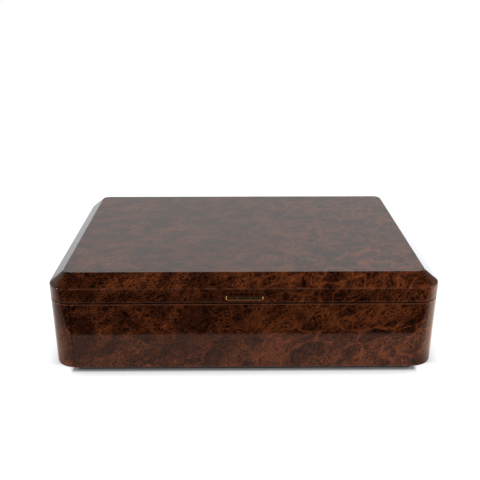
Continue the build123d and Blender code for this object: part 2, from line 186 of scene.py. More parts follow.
class Shading:
    """The nodes of a material or a world, written from the coordinates to the output."""

    def __init__(self, owner):
        owner.use_nodes = True
        self.owner = owner
        self.tree = owner.node_tree
        self.tree.nodes.clear()

    def node(self, kind, **settings):
        node = self.tree.nodes.new(kind)
        for name, value in settings.items():
            setattr(node, name, value)
        return node

    def plug(self, socket, value):
        """Link an output into a socket, or set the socket to a plain value."""
        if isinstance(value, bpy.types.NodeSocket):
            self.tree.links.new(value, socket)
        elif socket.type == "RGBA" and len(value) == 3:
            socket.default_value = (*value, 1.0)
        else:
            socket.default_value = value

    def wired(self, kind, *values, **settings):
        """The outputs of a new node, whose first sockets get these values."""
        node = self.node(kind, **settings)
        for socket, value in zip(node.inputs, values):
            self.plug(socket, value)
        return node.outputs

    def maths(self, operation, *values, clamp=False):
        return self.wired("ShaderNodeMath", *values, operation=operation, use_clamp=clamp)[0]

    def product(self, *values):
        """All the values multiplied with each other."""
        result = values[0]
        for value in values[1:]:
            result = self.maths("MULTIPLY", result, value)
        return result

    def off(self, value, middle):
        """How far a value is from the middle, on either side."""
        return self.maths("ABSOLUTE", self.maths("SUBTRACT", value, middle))

    def vector_maths(self, operation, a, b=(0.0, 0.0, 0.0)):
        node = self.node("ShaderNodeVectorMath", operation=operation)
        self.plug(node.inputs[0], a)
        self.plug(node.inputs["Scale"] if operation == "SCALE" else node.inputs[1], b)
        return node.outputs["Value" if operation == "LENGTH" else "Vector"]

    def band(self, value, low, high, start=0.0, end=1.0):
        """A smooth step from start at low to end at high."""
        return self.wired("ShaderNodeMapRange", value, low, high, start, end, interpolation_type="SMOOTHSTEP")[0]

    def blend(self, factor, a, b, mode="MIX"):
        node = self.node("ShaderNodeMix", data_type="RGBA", blend_type=mode)
        self.plug(node.inputs["Factor"], factor)
        self.plug(node.inputs[6], a)
        self.plug(node.inputs[7], b)
        return node.outputs[2]

    def toned(self, tint, tone):
        """A colour made darker or lighter by a tone, where 1 leaves it as it is."""
        return self.blend(1.0, tint, self.vector_maths("SCALE", (1.0, 1.0, 1.0), tone), "MULTIPLY")

    def axes(self, vector):
        """The X, Y and Z of a vector."""
        return self.wired("ShaderNodeSeparateXYZ", vector)

    def vector(self, *values):
        """A vector from its X, Y and Z."""
        return self.wired("ShaderNodeCombineXYZ", *values)[0]

    def millimetres(self, place=None, shift=None):
        """A place in millimetres, or else the piece's own, shifted by another amount for each piece if asked."""
        if place is None:
            place = self.node("ShaderNodeTexCoord").outputs["Object"]
        place = self.vector_maths("SCALE", place, 1.0 / MM)
        if shift is not None:
            own = self.node("ShaderNodeObjectInfo").outputs["Random"]
            place = self.vector_maths("ADD", place, self.vector(*(self.product(own, reach) for reach in shift)))
        return place

    def turned(self, place, stretch=1.0, rotation=(0.0, 0.0, 0.0)):
        """Coordinates turned by these degrees, and stretched so that a figure runs along its own X."""
        node = self.node("ShaderNodeMapping", vector_type="TEXTURE")
        self.plug(node.inputs["Vector"], place)
        node.inputs["Rotation"].default_value = [math.radians(a) for a in rotation]
        node.inputs["Scale"].default_value = (stretch, 1.0, 1.0)
        return node.outputs[0]

    def cloud(self, place, size, detail=2.0, roughness=0.5, output="Fac"):
        """Noise whose patches are about this size in millimetres."""
        node = self.node("ShaderNodeTexNoise", noise_dimensions="3D")
        self.plug(node.inputs["Vector"], place)
        node.inputs["Scale"].default_value = 1.0 / size
        node.inputs["Detail"].default_value = detail
        node.inputs["Roughness"].default_value = roughness
        return node.outputs[output]

    def drift(self, place, size, amount, detail=2.0):
        """Coordinates pushed about by noise, by up to about half the amount each way."""
        push = self.cloud(place, size, detail, output="Color")
        push = self.vector_maths("SUBTRACT", push, (0.5, 0.5, 0.5))
        return self.vector_maths("ADD", place, self.vector_maths("SCALE", push, amount))

    def cells(self, place, size, feature="F1", output="Distance"):
        """Voronoi cells of about this size in millimetres."""
        node = self.node("ShaderNodeTexVoronoi", voronoi_dimensions="3D", feature=feature)
        self.plug(node.inputs["Vector"], place)
        node.inputs["Scale"].default_value = 1.0 / size
        return node.outputs[output]

    def bump(self, height, strength, distance_mm):
        node = self.node("ShaderNodeBump")
        node.inputs["Strength"].default_value = strength
        node.inputs["Distance"].default_value = distance_mm * MM
        self.plug(node.inputs["Height"], height)
        return node.outputs[0]

    def surface(self, **sockets):
        """The material, with a Principled shader whose sockets are named here with _ for blanks."""
        shader = self.node("ShaderNodeBsdfPrincipled")
        for name, value in sockets.items():
            self.plug(shader.inputs[name.replace("_", " ")], value)
        return self.send(shader.outputs[0])

    def glow(self, tint, strength):
        """A surface that gives off light."""
        return self.wired("ShaderNodeEmission", tint, strength)[0]

    def send(self, shader, output="ShaderNodeOutputMaterial"):
        """Plug a shader into the output, and give back what it shades."""
        self.plug(self.node(output).inputs["Surface"], shader)
        return self.owner


def new_shading(name):
    """The shading of a new material."""
    return Shading(bpy.data.materials.new(name))


def weld_group():
    """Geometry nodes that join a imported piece's faces at their shared edges and shade them smooth."""
    group = bpy.data.node_groups.get("joined_faces")
    if group:
        return group
    group = bpy.data.node_groups.new("joined_faces", "GeometryNodeTree")
    for way in ("INPUT", "OUTPUT"):
        group.interface.new_socket("Geometry", in_out=way, socket_type="NodeSocketGeometry")
    kinds = ("NodeGroupInput", "GeometryNodeMergeByDistance", "GeometryNodeSetShadeSmooth", "NodeGroupOutput")
    nodes = [group.nodes.new(kind) for kind in kinds]
    nodes[1].inputs["Distance"].default_value = WELD
    for node, following in zip(nodes, nodes[1:]):
        group.links.new(node.outputs[0], following.inputs[0])
    return group


def ease(piece, radius, segments=2, sharper_than=30.0):
    """Round a piece's sharp edges with modifiers, which leave its mesh as it is."""
    join = piece.modifiers.new("join_faces", "NODES")
    join.node_group = weld_group()
    edges = piece.modifiers.new("eased_edges", "BEVEL")
    edges.width = radius
    edges.segments = segments
    edges.limit_method = "ANGLE"
    edges.angle_limit = math.radians(sharper_than)
    edges.use_clamp_overlap = False
    shade = piece.modifiers.new("even_shading", "WEIGHTED_NORMAL")
    shade.keep_sharp = False
    shade.weight = 100


def paint(piece, material):
    """Put one material in all of a piece's slots."""
    if not piece.material_slots:
        piece.data.materials.append(material)
    for slot in piece.material_slots:
        slot.material = material


def finish_node(name, material, radius=0.0, segments=2, sharper_than=30.0):
    """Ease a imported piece's edges and paint it."""
    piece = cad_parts[name]
    if radius > 0:
        ease(piece, radius, segments, sharper_than)
    paint(piece, material)


def solids(name):
    """The box of each solid in a packed group, from left to right."""
    work = bmesh.new()
    work.from_mesh(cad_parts[name].data)
    bmesh.ops.remove_doubles(work, verts=work.verts, dist=WELD)
    seen, boxes = set(), []
    for first in work.verts:
        if first in seen:
            continue
        seen.add(first)
        found, queue = [], [first]
        while queue:
            vert = queue.pop()
            found.append(vert.co.copy())
            for edge in vert.link_edges:
                other = edge.other_vert(vert)
                if other not in seen:
                    seen.add(other)
                    queue.append(other)
        low = Vector([min(co[i] for co in found) for i in range(3)])
        high = Vector([max(co[i] for co in found) for i in range(3)])
        boxes.append((low, high))
    work.free()
    return sorted(boxes, key=lambda box: box[0].x)


def bridge(work, lower, upper):
    """Faces between two closed rings of as many vertices."""
    for i in range(len(lower)):
        j = (i + 1) % len(lower)
        work.faces.new((lower[i], lower[j], upper[j], upper[i]))


def put(name, data):
    """Put an object of this data in the scene."""
    thing = bpy.data.objects.new(name, data)
    bpy.context.scene.collection.objects.link(thing)
    return thing


def stand(name, work, material):
    """Turn a bmesh into an object in the scene."""
    mesh = bpy.data.meshes.new(name)
    work.to_mesh(mesh)
    work.free()
    mesh.materials.append(material)
    return put(name, mesh)


def new_piece(name, work, body, material, smooth=True):
    """Turn a bmesh into a piece that rides on a body."""
    bmesh.ops.recalc_face_normals(work, faces=work.faces)
    piece = stand(name, work, material)
    piece.data.polygons.foreach_set("use_smooth", [smooth] * len(piece.data.polygons))
    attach(piece, body)
    return piece


# Materials

VEIN_RUN = (0.0, -34.0, 22.0)  # turns in degrees: the burl's veins rise to the right


def burl_lacquer(settings):
    """Red-brown burl under a deep gloss lacquer: crowded small eyes, and light veins that run up to the right."""
    t = new_shading("burl_lacquer")
    place = t.millimetres()
    x, _, z = t.axes(place)
    broad = t.drift(place, 46.0, 30.0)
    curled = t.drift(broad, 12.0, 11.0, detail=3.0)
    fine = t.drift(curled, 5.0, 2.4, detail=1.0)

    # Wide veins of uneven width, broken up, and more of them towards the right
    wide = t.turned(t.drift(broad, 11.0, 6.0, detail=3.0), 2.7, VEIN_RUN)
    uneven = t.band(t.cloud(broad, 8.0), 0.35, 0.65, 0.07, 0.24)
    wide = t.band(t.cells(wide, 13.0, "DISTANCE_TO_EDGE"), 0.00, uneven, 1.0, 0.0)
    rising = t.band(x, -130.0, 90.0, 0.28, 1.0)
    patchy = t.band(t.cloud(broad, 24.0), 0.32, 0.50)
    wide = t.product(wide, rising, patchy)

    # A net of middling and thin veins round the eyes, fainter in the clusters
    middle = t.turned(fine, 1.3, VEIN_RUN)
    middle = t.band(t.cells(middle, 6.4, "DISTANCE_TO_EDGE"), 0.00, 0.17, 1.0, 0.0)
    small = t.turned(t.drift(fine, 2.0, 0.8), 1.3, VEIN_RUN)
    thin = t.band(t.cells(small, 3.2, "DISTANCE_TO_EDGE"), 0.00, 0.26, 1.0, 0.0)
    clusters = t.turned(curled, 2.0, VEIN_RUN)
    clusters = t.band(t.cloud(clusters, 15.0, detail=4.0, roughness=0.6), 0.36, 0.62)
    net = t.maths("MAXIMUM", t.product(middle, 0.36), t.product(thin, 0.68))
    net = t.product(net, t.maths("SUBTRACT", 1.15, t.product(clusters, 0.55)))

    fibres = t.turned(fine, 3.2, VEIN_RUN)
    fibres = t.band(t.cloud(fibres, 1.2, detail=3.0, roughness=0.6), 0.36, 0.72)
    light = t.maths("MAXIMUM", t.product(wide, 0.84), net)
    light = t.maths("ADD", light, t.product(t.maths("SUBTRACT", 1.0, clusters), 0.10))
    light = t.maths("MULTIPLY", light, t.maths("ADD", t.product(fibres, 0.60), 0.62), clamp=True)

    # The eyes, each as dark as its own cell says, and darkest in the clusters
    own = t.band(t.cells(small, 3.2, output="Color"), 0.10, 0.80)
    dark = t.product(t.maths("SUBTRACT", 1.0, light), t.maths("ADD", t.product(own, 0.50), 0.45))
    dark = t.maths("MULTIPLY", dark, t.maths("ADD", t.product(clusters, 0.45), 0.60), clamp=True)
    wood = t.blend(light, settings.ground, settings.vein)
    wood = t.blend(t.product(dark, 0.95), wood, settings.eye)
    wood = t.toned(wood, t.band(t.cloud(place, 75.0, 1.0), 0.35, 0.65, 0.86, 1.14))

    # Lines on the outside: pale by the seam and at the bevel's foot, partly rubbed veneer and partly painted
    # highlight on the arrises; dark at the seam, painted shade in its groove; and dark at the veneer's joint on the
    # left
    upward = t.axes(t.node("ShaderNodeTexCoord").outputs["Normal"])["Z"]
    outside = t.band(t.maths("ABSOLUTE", upward), 0.60, 0.90, 1.0, 0.0)

    def line(height, core, reach, strength):
        """A soft line round the case at this height, which leaves the rims alone."""
        return t.product(t.band(t.off(z, height), core, reach, strength, 0.0), outside)

    # Pale lines by the seam and at the bevel's foot: partly rubbed veneer, partly painted highlight on the rounded
    # arrises
    rubbed = t.maths("MAXIMUM", line(SEAM - 1.3, 0.20, 0.65, 0.80), line(SEAM + 1.3, 0.20, 0.60, 0.25))
    patchy_edge_line = t.band(t.cloud(place, 9.0), 0.38, 0.62, 0.15, 1.0)
    rubbed = t.maths("MAXIMUM", rubbed, t.product(line(BEVEL_FOOT + 0.2, 0.20, 0.80, 0.45), patchy_edge_line))
    joint = t.band(t.off(x, VENEER_JOINT), 0.25, 0.80, 0.85, 0.0)
    joint = t.product(joint, t.band(z, SEAM - 0.1, SEAM + 0.1, 1.0, 0.0))
    wood = t.blend(rubbed, wood, settings.rubbed)
    # The dark line at the seam is painted shade in the groove between lid and base
    wood = t.blend(t.maths("MAXIMUM", joint, line(SEAM, 0.50, 0.85, 1.0)), wood, settings.eye)

    ripple = t.bump(t.cloud(place, 17.0, 1.0), 0.05, 1.0)
    return t.surface(
        Base_Color=wood,
        Roughness=t.band(fibres, 0.3, 0.7, 0.45, 0.58),
        Specular_IOR_Level=0.0,
        Coat_Weight=1.0,
        Coat_Roughness=settings.lacquer_roughness,
        Coat_IOR=1.5,
        Coat_Normal=ripple,
    )


def cedar(name, settings, turn):
    """Planed Spanish cedar, its grain along X, or turned by this many degrees from it."""
    t = new_shading(name)
    place = t.millimetres(shift=(310.0, 170.0, 230.0))
    along = t.turned(place, rotation=(0.0, 0.0, turn))
    wander = t.drift(along, 90.0, 14.0)
    rings = t.cloud(t.turned(wander, 26.0), 7.0, 3.0, 0.6)
    fibres = t.cloud(t.turned(along, 45.0), 0.55, 3.0, 0.65)
    pores = t.cells(t.turned(wander, 11.0), 0.75)
    pores = t.product(t.band(pores, 0.12, 0.26, 1.0, 0.0), t.band(rings, 0.45, 0.62, 1.0, 0.25))

    lean = t.product(t.maths("SUBTRACT", fibres, 0.5), 0.55)
    wood = t.maths("ADD", t.band(rings, 0.32, 0.70), lean, clamp=True)
    wood = t.blend(wood, settings.cedar_light, settings.cedar_dark)
    wood = t.blend(t.product(pores, 0.55), wood, settings.cedar_pore)
    own = t.node("ShaderNodeObjectInfo").outputs["Random"]
    wood = t.toned(wood, t.band(own, 0.0, 1.0, 0.86, 1.10))
    height = t.maths("SUBTRACT", t.product(fibres, 0.4), pores)
    return t.surface(
        Base_Color=wood, Roughness=t.band(fibres, 0.3, 0.7, 0.56, 0.72), Specular_IOR_Level=0.3,
        Normal=t.bump(height, 0.35, 0.12),
    )


def stained_wood(settings):
    """Black-stained hardwood with an open straight grain."""
    t = new_shading("stained_wood")
    grain = t.cloud(t.turned(t.millimetres(), 30.0), 1.1, 3.0, 0.6)
    return t.surface(
        Base_Color=t.toned(settings.stain, t.band(grain, 0.3, 0.7, 0.75, 1.5)),
        Roughness=t.band(grain, 0.3, 0.7, 0.42, 0.58), Normal=t.bump(grain, 0.25, 0.15),
    )


def plywood(settings):
    """Sanded birch plywood, its plies showing on the edges."""
    t = new_shading("plywood")
    place = t.millimetres()
    plies = t.node("ShaderNodeTexWave", wave_type="BANDS", bands_direction="Z")
    t.plug(plies.inputs["Vector"], place)
    plies.inputs["Scale"].default_value = 0.16
    grain = t.cloud(t.turned(place, 24.0), 1.4, 3.0, 0.6)
    tone = t.maths("ADD", t.product(plies.outputs["Fac"], 0.25), t.product(grain, 0.6))
    return t.surface(
        Base_Color=t.blend(tone, settings.ply_light, settings.ply_dark),
        Roughness=t.band(grain, 0.3, 0.7, 0.6, 0.75), Normal=t.bump(grain, 0.2, 0.1),
    )


def polished_brass(settings):
    """Polished brass with faint hairlines and a breath of tarnish."""
    t = new_shading("polished_brass")
    place = t.millimetres()
    hairlines = t.cloud(t.turned(place, 24.0, (0.0, 0.0, 4.0)), 0.22, 3.0, 0.7)
    dull = t.band(t.cloud(place, 5.0, 4.0, 0.6), 0.42, 0.72)
    rough = t.maths("ADD", t.band(hairlines, 0.3, 0.7, 0.13, 0.22), t.product(dull, 0.08))
    return t.surface(
        Base_Color=t.blend(t.product(dull, 0.45), settings.brass, settings.tarnish), Metallic=1.0,
        Roughness=rough, Normal=t.bump(hairlines, 0.06, 0.03),
    )


def plated_steel(settings):
    """Nickel-plated steel with a brushed grain."""
    t = new_shading("plated_steel")
    brushed = t.cloud(t.turned(t.millimetres(), 60.0), 0.25, 3.0, 0.7)
    return t.surface(
        Base_Color=t.toned(settings.steel, t.band(brushed, 0.3, 0.7, 0.86, 1.08)), Metallic=1.0,
        Roughness=t.band(brushed, 0.3, 0.7, 0.26, 0.40), Normal=t.bump(brushed, 0.12, 0.03),
    )


def pressed_felt(settings):
    """Dense dark felt with loose fibres in it."""
    t = new_shading("pressed_felt")
    tangle = t.drift(t.millimetres(), 2.0, 1.6)
    lying = [t.cloud(t.turned(tangle, 5.0, (0.0, 0.0, turn)), 0.3, 3.0, 0.7) for turn in (0.0, 70.0)]
    mat = t.maths("MAXIMUM", *lying)
    return t.surface(
        Base_Color=t.blend(t.band(mat, 0.45, 0.75), settings.felt_deep, settings.felt_fibre), Roughness=0.95,
        Specular_IOR_Level=0.1, Sheen_Weight=0.35, Sheen_Roughness=0.6, Normal=t.bump(mat, 0.7, 0.25),
    )


def moulded_plastic(settings):
    """Black moulded plastic with a fine spark texture."""
    t = new_shading("moulded_plastic")
    place = t.millimetres()
    grain = t.cloud(place, 0.45, 2.0, 0.6)
    wear = t.band(t.cloud(place, 9.0, 3.0), 0.35, 0.7)
    rough = t.maths("ADD", t.band(grain, 0.3, 0.7, 0.40, 0.52), t.product(wear, 0.06))
    return t.surface(
        Base_Color=t.blend(wear, settings.plastic, settings.plastic_worn), Roughness=rough,
        Normal=t.bump(grain, 0.3, 0.08),
    )


def open_foam(settings):
    """Open-cell foam, its pores dark inside."""
    t = new_shading("open_foam")
    place = t.millimetres()
    walls = t.band(t.cells(t.drift(place, 1.5, 0.7), 1.1), 0.18, 0.62)
    damp = t.band(t.cloud(place, 14.0), 0.35, 0.65, 0.75, 1.15)
    return t.surface(
        Base_Color=t.toned(t.blend(walls, settings.foam_pore, settings.foam), damp), Roughness=0.9,
        Specular_IOR_Level=0.15, Normal=t.bump(walls, 0.8, 0.6),
    )


def dial_enamel(settings):
    """Warm white enamel with a faint tooth."""
    t = new_shading("dial_enamel")
    place = t.millimetres()
    tooth = t.cloud(place, 0.6, 3.0)
    aged = t.band(t.cloud(place, 13.0, 3.0), 0.4, 0.75)
    return t.surface(
        Base_Color=t.blend(t.product(aged, 0.5), settings.dial, settings.dial_aged),
        Roughness=t.band(tooth, 0.3, 0.7, 0.42, 0.52), Normal=t.bump(tooth, 0.08, 0.05),
    )


def flat_paint(name, tint):
    """Satin paint or printing ink with a slight unevenness."""
    t = new_shading(name)
    film = t.cloud(t.millimetres(), 0.8, 3.0)
    return t.surface(
        Base_Color=t.toned(tint, t.band(film, 0.3, 0.7, 0.9, 1.12)), Roughness=t.band(film, 0.3, 0.7, 0.34, 0.46)
    )


def clear_glass():
    """Clear flat glass with a trace of dust."""
    t = new_shading("clear_glass")
    dust = t.band(t.cloud(t.millimetres(), 3.0, 4.0), 0.45, 0.8, 0.0, 0.05)
    return t.surface(Base_Color=(0.97, 0.985, 0.98), Roughness=dust, IOR=1.5, Transmission_Weight=1.0)


def shared(maker, settings):
    """A material that several operators use, made the first time that it is asked for."""
    return bpy.data.materials.get(maker.__name__) or maker(settings)


def finish_cedar(wood, grain, *names):
    """Ease the edges of cedar boards and finish them, their grain along X or Y."""
    title = f"cedar_along_{grain}"
    material = bpy.data.materials.get(title) or cedar(title, wood, {"X": 0.0, "Y": 90.0}[grain])
    for name in names:
        finish_node(name, material, wood.board_edge)


# Operators


class HUMIDOR_OT_case(bpy.types.Operator):
    """Lacquer the burl case and lid, and round their arrises"""

    bl_idname = "humidor.case"
    bl_label = "Lacquered Case"

    def execute(self, context):
        settings = context.scene.humidor_burl
        lacquer = burl_lacquer(settings)
        finish_node("lid_case", lacquer, settings.arris, segments=4, sharper_than=20.0)
        finish_node("base_case", lacquer, settings.seam_arris, segments=3)
        return {"FINISHED"}


class HUMIDOR_OT_foot(bpy.types.Operator):
    """Stain the plinth, finish the bottom board and lay the felt under them"""

    bl_idname = "humidor.foot"
    bl_label = "Foot and Felt"

    def execute(self, context):
        wood = context.scene.humidor_wood
        finish_node("plinth", stained_wood(wood), 0.3 * MM)
        finish_node("base_panel", plywood(wood), 0.2 * MM)
        self.lay_felt(pressed_felt(wood), wood.felt_corner, wood.felt_edge)
        return {"FINISHED"}

    def lay_felt(self, material, corner, edge):
        """A felt pad with soft edges and slightly rounded corners, cut a little smaller than the plinth."""
        low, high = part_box("base_felt")
        work = bmesh.new()
        rings, steps = [], 8
        for inset, z in ((edge, low.z), (edge * 0.25, low.z + edge * 0.3), (0.0, low.z + edge), (0.0, high.z)):
            ring = []
            for cx, cy, start in ((1, 1, 0), (-1, 1, 90), (-1, -1, 180), (1, -1, 270)):
                middle = Vector((cx * (high.x - corner), cy * (high.y - corner), z))
                for step in range(steps + 1):
                    turn = math.radians(start + 90.0 * step / steps)
                    out = Vector((math.cos(turn), math.sin(turn), 0)) * (corner - inset)
                    ring.append(work.verts.new(middle + out))
            rings.append(ring)
        for lower, upper in zip(rings, rings[1:]):
            bridge(work, lower, upper)
        work.faces.new(reversed(rings[0]))
        work.faces.new(rings[-1])
        felt = new_piece("felt_pad", work, "base", material)
        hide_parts("base_felt")


class HUMIDOR_OT_lift(bpy.types.Operator):
    """Polish the brass lift on the front of the lid"""

    bl_idname = "humidor.lift"
    bl_label = "Lid Lift"

    def execute(self, context):
        metal = context.scene.humidor_metal
        finish_node("lid_lift", shared(polished_brass, metal), metal.brass_edge, segments=3, sharper_than=25.0)
        return {"FINISHED"}


class HUMIDOR_OT_hinges(bpy.types.Operator):
    """Polish the stop hinges and put slotted screws in them"""

    bl_idname = "humidor.hinges"
    bl_label = "Stop Hinges"

    def execute(self, context):
        metal = context.scene.humidor_metal
        brass = shared(polished_brass, metal)
        for name in ("hinge_base_leaves", "hinge_lid_leaves"):
            finish_node(name, brass, 0.18 * MM)
        finish_node("hinge_pins", brass, 0.25 * MM)
        for name, body, upward in (("hinge_base_screws", "base", False), ("hinge_lid_screws", "lid", True)):
            self.drive_screws(name, body, upward, metal, brass)
        return {"FINISHED"}

    def drive_screws(self, node, body, upward, metal, material):
        """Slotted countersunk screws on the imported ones, each slot at an angle of its own."""
        chance = random.Random(7)
        work = bmesh.new()
        for low, high in solids(node):
            middle = (low + high) / 2
            head = low.z if upward else high.z
            facing = Matrix.Rotation(math.pi, 4, "X") if upward else Matrix.Identity(4)
            place = Matrix.Translation((middle.x, middle.y, head)) @ facing
            place = place @ Matrix.Rotation(chance.uniform(0.0, math.pi), 4, "Z")
            slotted_screw(work, place, (high.x - low.x) / 2, high.z - low.z, metal.slot_width, metal.slot_depth)
        screws = new_piece(node.replace("screws", "slotted_screws"), work, body, material, smooth=False)
        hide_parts(node)


def slotted_screw(work, place, head_radius, screw_length, slot_width, slot_depth):
    """A countersunk head with a slot across it, on a shank with a turned thread; place has its head up."""
    arc_steps = 16
    half = slot_width / 2
    head_depth = 1.5 * MM
    shank = head_radius - head_depth
    sides = []
    for side in (1, -1):
        first = math.asin(half / head_radius)
        arc = [first + (math.pi - 2 * first) * i / arc_steps for i in range(arc_steps + 1)]
        sides.append([(math.cos(a), math.sin(a) * side) for a in (arc if side == 1 else reversed(arc))])

    def ring(radius, z):
        return [[work.verts.new(place @ Vector((x * radius, y * radius, z))) for x, y in side] for side in sides]

    top = ring(head_radius, 0.0)
    reach = math.sqrt(max((head_radius - slot_depth) ** 2 - half**2, 0.0))
    floor = [
        [work.verts.new(place @ Vector((x * sign, half * sign, -slot_depth))) for x in (reach, -reach)]
        for sign in (1, -1)
    ]
    neck = ring(shank, -head_depth)
    for side in range(2):
        upper, slot, lower = top[side], floor[side], neck[side]
        other = 1 - side
        work.faces.new(upper)
        work.faces.new((upper[0], upper[-1], slot[1], slot[0]))
        for corners in zip(upper, upper[1:], lower[1:], lower):
            work.faces.new(corners)
        work.faces.new((upper[-1], slot[1], floor[other][0], top[other][0], neck[other][0], lower[-1]))
    work.faces.new((*floor[0], *floor[1]))

    # The thread, with its root and the end of the shank as shares of the shank's radius
    pitch, root, end_length, end = 0.4 * MM, 0.78, 2.0 * MM, 0.75
    last = neck[0] + neck[1]
    depth = head_depth
    while depth < screw_length - pitch:
        depth += pitch
        radius = shank * (root if round(depth / pitch) % 2 else 1.0)
        radius *= 1.0 if depth < screw_length - end_length else end
        row = [vert for side in ring(radius, -depth) for vert in side]
        bridge(work, last, row)
        last = row
    work.faces.new(last)


class HUMIDOR_OT_lining(bpy.types.Operator):
    """Finish the cedar lining of the box and the lid, and the rails for the tray"""

    bl_idname = "humidor.lining"
    bl_label = "Cedar Lining"

    def execute(self, context):
        wood = context.scene.humidor_wood
        finish_cedar(wood, "X", "cedar_floor", "lid_lining_panel")
        for half in ("base", "lid"):
            finish_cedar(wood, "X", f"{half}_lining_front", f"{half}_lining_back")
            finish_cedar(wood, "Y", f"{half}_lining_left", f"{half}_lining_right")
        finish_cedar(wood, "Y", "tray_rail_left", "tray_rail_right")
        return {"FINISHED"}


class HUMIDOR_OT_tray(bpy.types.Operator):
    """Finish the lift-out tray and the sliding dividers"""

    bl_idname = "humidor.tray"
    bl_label = "Tray and Dividers"

    def execute(self, context):
        wood = context.scene.humidor_wood
        finish_cedar(wood, "X", "tray_front", "tray_back", "tray_bottom")
        finish_cedar(wood, "Y", "tray_left", "tray_right", "tray_divider", "divider_left", "divider_right")
        return {"FINISHED"}


class HUMIDOR_OT_humidifier(bpy.types.Operator):
    """Finish the humidifier's case, grille, magnets and foam, and the strips that it holds to"""

    bl_idname = "humidor.humidifier"
    bl_label = "Humidifier"

    def execute(self, context):
        gauge = context.scene.humidor_gauge
        plastic = moulded_plastic(gauge)
        steel = shared(plated_steel, context.scene.humidor_metal)
        finish_node("humidifier_case", plastic, 0.5 * MM, segments=3)
        finish_node("humidifier_grille", plastic, 0.3 * MM)
        finish_node("humidifier_magnets", steel, 0.2 * MM)
        finish_node("humidifier_strips", steel, 0.2 * MM)
        self.cut_foam(open_foam(gauge))
        return {"FINISHED"}

    def cut_foam(self, material):
        """A block of foam whose faces are crowned and pitted."""
        low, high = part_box("humidifier_foam")
        size = high - low
        columns, rows = 96, 36
        rim_drop, rim_reach = 0.9 * MM, 1.2 * MM
        pit_depth, pits_per_metre, all_over = 0.12 * MM, 900.0, 0.06 * MM
        work = bmesh.new()
        rims = []
        for level, sign in ((low.z, 1), (high.z, -1)):
            grid = []
            for i in range(columns + 1):
                line = []
                for j in range(rows + 1):
                    u, v = i / columns, j / rows
                    inside = min(min(u, 1 - u) * size.x, min(v, 1 - v) * size.y)
                    place = Vector((low.x + u * size.x, low.y + v * size.y, 0))
                    pit = max(noise.noise(place * pits_per_metre) * pit_depth, 0.0)
                    drop = math.exp(-inside / rim_reach) * rim_drop + pit + all_over
                    line.append(work.verts.new((place.x, place.y, level + sign * drop)))
                grid.append(line)
            for near, far in zip(grid, grid[1:]):
                for corners in zip(near, far, far[1:], near[1:]):
                    work.faces.new(corners)
            rim = [line[0] for line in grid] + grid[-1][1:] + [line[-1] for line in reversed(grid[:-1])]
            rims.append(rim + list(reversed(grid[0][1:-1])))
        bridge(work, *rims)
        foam = new_piece("foam_block", work, "humidifier", material)
        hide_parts("humidifier_foam")


class HUMIDOR_OT_hygrometer(bpy.types.Operator):
    """Finish the hygrometer and print its scale"""

    bl_idname = "humidor.hygrometer"
    bl_label = "Hygrometer"

    def execute(self, context):
        gauge = context.scene.humidor_gauge
        metal = context.scene.humidor_metal
        finish_node("hygrometer_case", shared(polished_brass, metal), metal.brass_edge, segments=3)
        finish_node("hygrometer_spindle", shared(plated_steel, metal), 0.08 * MM)
        finish_node("hygrometer_needle", flat_paint("needle_paint", gauge.needle))
        finish_node("hygrometer_glass", clear_glass())
        finish_node("hygrometer_dial", dial_enamel(gauge))
        ink = flat_paint("scale_ink", gauge.print_ink)
        self.print_marks(gauge, ink)
        self.print_band(gauge, flat_paint("comfort_band", gauge.comfort_band))
        self.print_figures(gauge, ink)
        return {"FINISHED"}

    def place(self, radius_mm, share, sweep):
        """A point on the dial's face and the turn of its radius, share 0 to 1 round the scale.

        The dial is seen from below, with the lid's front edge up.
        """
        low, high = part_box("hygrometer_dial")
        middle = (low + high) / 2
        radius = radius_mm * MM
        turn = (share - 0.5) * sweep
        return Vector((middle.x + radius * math.sin(turn), middle.y - radius * math.cos(turn), low.z)), turn

    def print_arc(self, work, radii_mm, start, span, steps, sweep):
        """A strip between two radii, over this span of the scale."""
        inner, outer = radii_mm
        for step in range(steps):
            a, b = (start + span * s / steps for s in (step, step + 1))
            corners = ((inner, a), (outer, a), (outer, b), (inner, b))
            flat_print(work, [self.place(radius, share, sweep)[0] for radius, share in corners])

    def print_marks(self, gauge, ink):
        """The marks of the scale, every fifth of them longer, and a fine ring outside and inside them."""
        work = bmesh.new()
        for index in range(gauge.marks):
            inner, half = (13.0, 0.22 * MM) if index % 5 == 0 else (14.4, 0.12 * MM)
            corners = []
            for radius, side in ((inner, -1), (16.2, -1), (16.2, 1), (inner, 1)):
                point, turn = self.place(radius, index / (gauge.marks - 1), gauge.sweep)
                corners.append(point + Vector((math.cos(turn), math.sin(turn), 0)) * half * side)
            flat_print(work, corners)
        for radii in ((16.2, 16.5), (12.2, 12.4)):
            self.print_arc(work, radii, 0.0, 1.0, 96, gauge.sweep)
        new_piece("scale_marks", work, "lid", ink, smooth=False)

    def print_band(self, gauge, material):
        """The band from 65 to 75 where the reading should stay."""
        work = bmesh.new()
        self.print_arc(work, (12.4, 12.9), 0.65, 0.10, 14, gauge.sweep)
        new_piece("comfort_band", work, "lid", material, smooth=False)

    def print_figures(self, gauge, ink):
        """The numbers 0 to 100, upright as seen from in front of the open lid."""
        for value in range(0, 101, 20):
            radius = 8.9 if value == 100 else 9.7
            point = self.place(radius, value / 100, gauge.sweep)[0]
            self.figure(f"figure_{value}", str(value), point, gauge.figure_height, ink)
        below_middle = self.place(-7.0, 0.5, gauge.sweep)[0]
        self.figure("figure_percent", "%", below_middle, 3.4 * MM, ink)

    def figure(self, name, text, point, height, ink):
        curve = bpy.data.curves.new(name, "FONT")
        curve.body = text
        curve.size = height * 1.4  # the digits are lower than the font's own size
        curve.align_x = curve.align_y = "CENTER"
        curve.extrude = PRINT_THICKNESS
        curve.materials.append(ink)
        figure = put(name, curve)
        lifted = Matrix.Translation(point - Vector((0, 0, PRINT_LIFT)))
        figure.matrix_world = lifted @ Matrix.Rotation(math.pi, 4, "X")
        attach(figure, "lid")


